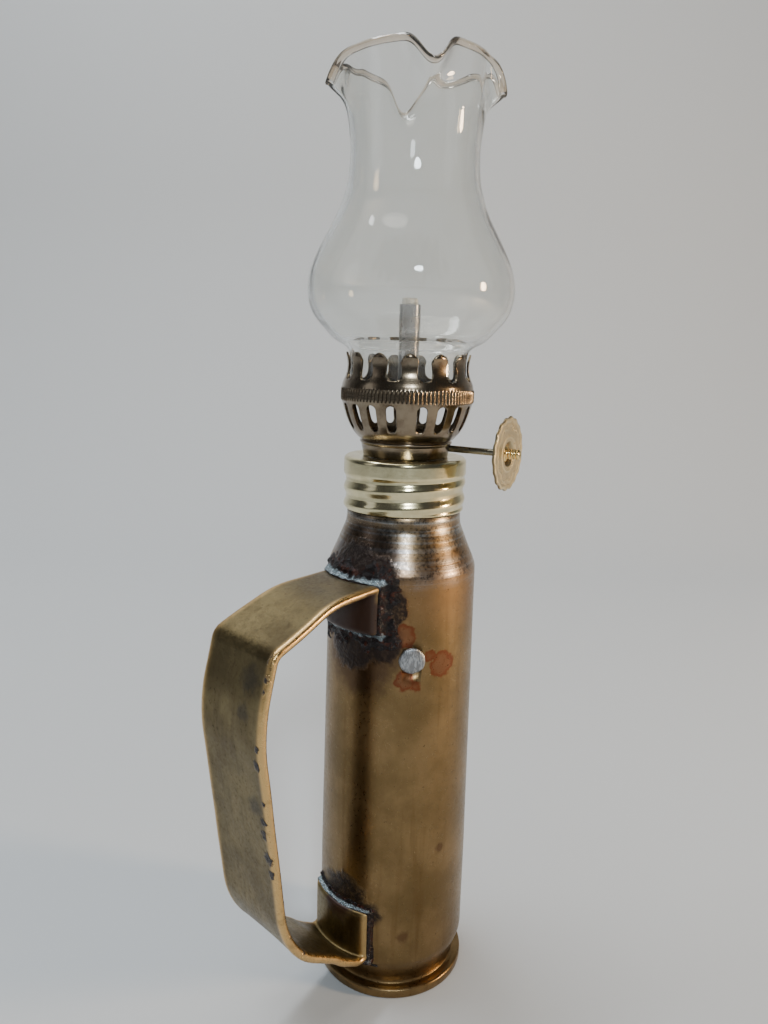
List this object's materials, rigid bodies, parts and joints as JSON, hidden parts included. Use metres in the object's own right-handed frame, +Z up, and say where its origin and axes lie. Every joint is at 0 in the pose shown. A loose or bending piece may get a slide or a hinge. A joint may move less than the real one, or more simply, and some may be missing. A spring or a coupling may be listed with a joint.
{
  "type": "oil lamp",
  "caption": "Small wick oil lamp made from a bottlenecked brass case, with a soldered strip handle, a screw-on burner with a wick knob, and a glass chimney.",
  "frame": {"origin": "centre of the flat base of the case", "axes": "+Z up along the lamp's axis, -X towards the handle"},
  "size_m": [0.0586, 0.0386, 0.1729],
  "materials": {
    "case_brass": "aged, heat-tinted, turned",
    "primer_brass": "worn",
    "insulator": "dull",
    "primer_steel": "worn",
    "solder": "dull grey, scratched",
    "burnt_solder": "flux-burnt, lumpy",
    "handle_brass": "olive patina, bright edges",
    "cap_brass": "bright rolled",
    "burner_brass": "dark toned",
    "gasket_fibre": "matt",
    "tube_nickel": "nickel-plated",
    "wick_cotton": "braided",
    "spindle_steel": "dull",
    "knob_brass": "pressed, light satin",
    "glass": "clear, thin"
  },
  "bodies": {
    "case": {"shell_case": "case_brass", "primer_cup": "primer_brass", "primer_insulator": "insulator", "primer_button": "primer_steel", "flash_hole_plug": "solder", "hole_plug": "solder", "neck_collar": "cap_brass", "handle": "handle_brass", "handle_solder_upper": "burnt_solder", "handle_solder_lower": "burnt_solder"},
    "seal": {"cap_gasket": "gasket_fibre"},
    "burner": {"screw_cap": "cap_brass", "burner_drum": "burner_brass", "spindle_bracket": "burner_brass", "gallery_basket": "burner_brass", "draft_plate": "burner_brass", "wick_tube": "tube_nickel"},
    "raiser": {"spindle": "spindle_steel", "wick_sprocket": "spindle_steel", "knob_disc": "knob_brass", "knob_stub": "cap_brass"},
    "wick": {"wick": "wick_cotton"},
    "chimney": {"glass_chimney": "glass"}
  },
  "joints": [
    {"name": "burner_lift", "type": "slide", "parent": "case", "child": "seal", "axis": [0, 0, 1], "range_m": [0, 0.00631]},
    {"name": "burner_turn", "type": "hinge", "parent": "seal", "child": "burner", "pos_m": [0, 0, 0.1], "axis": [0, 0, 1], "range_deg": [0, 720]},
    {"name": "knob_turn", "type": "hinge", "parent": "burner", "child": "raiser", "pos_m": [0.0029, 0.00078, 0.1064], "axis": [-0.2588, 0.9659, 0], "range_deg": [-150, 380]},
    {"name": "wick_rise", "type": "slide", "parent": "burner", "child": "wick", "axis": [0, 0, 1], "range_m": [-0.00393, 0.00995]},
    {"name": "chimney_lift", "type": "slide", "parent": "burner", "child": "chimney", "axis": [0, 0, 1], "range_m": [0, 0.06]}
  ],
  "couplings": [
    {"joint": "burner_lift", "follows": "burner_turn", "m_per_rad": 0.00050134},
    {"joint": "knob_turn", "follows": "wick_rise", "rad_per_m": 666.67}
  ]
}
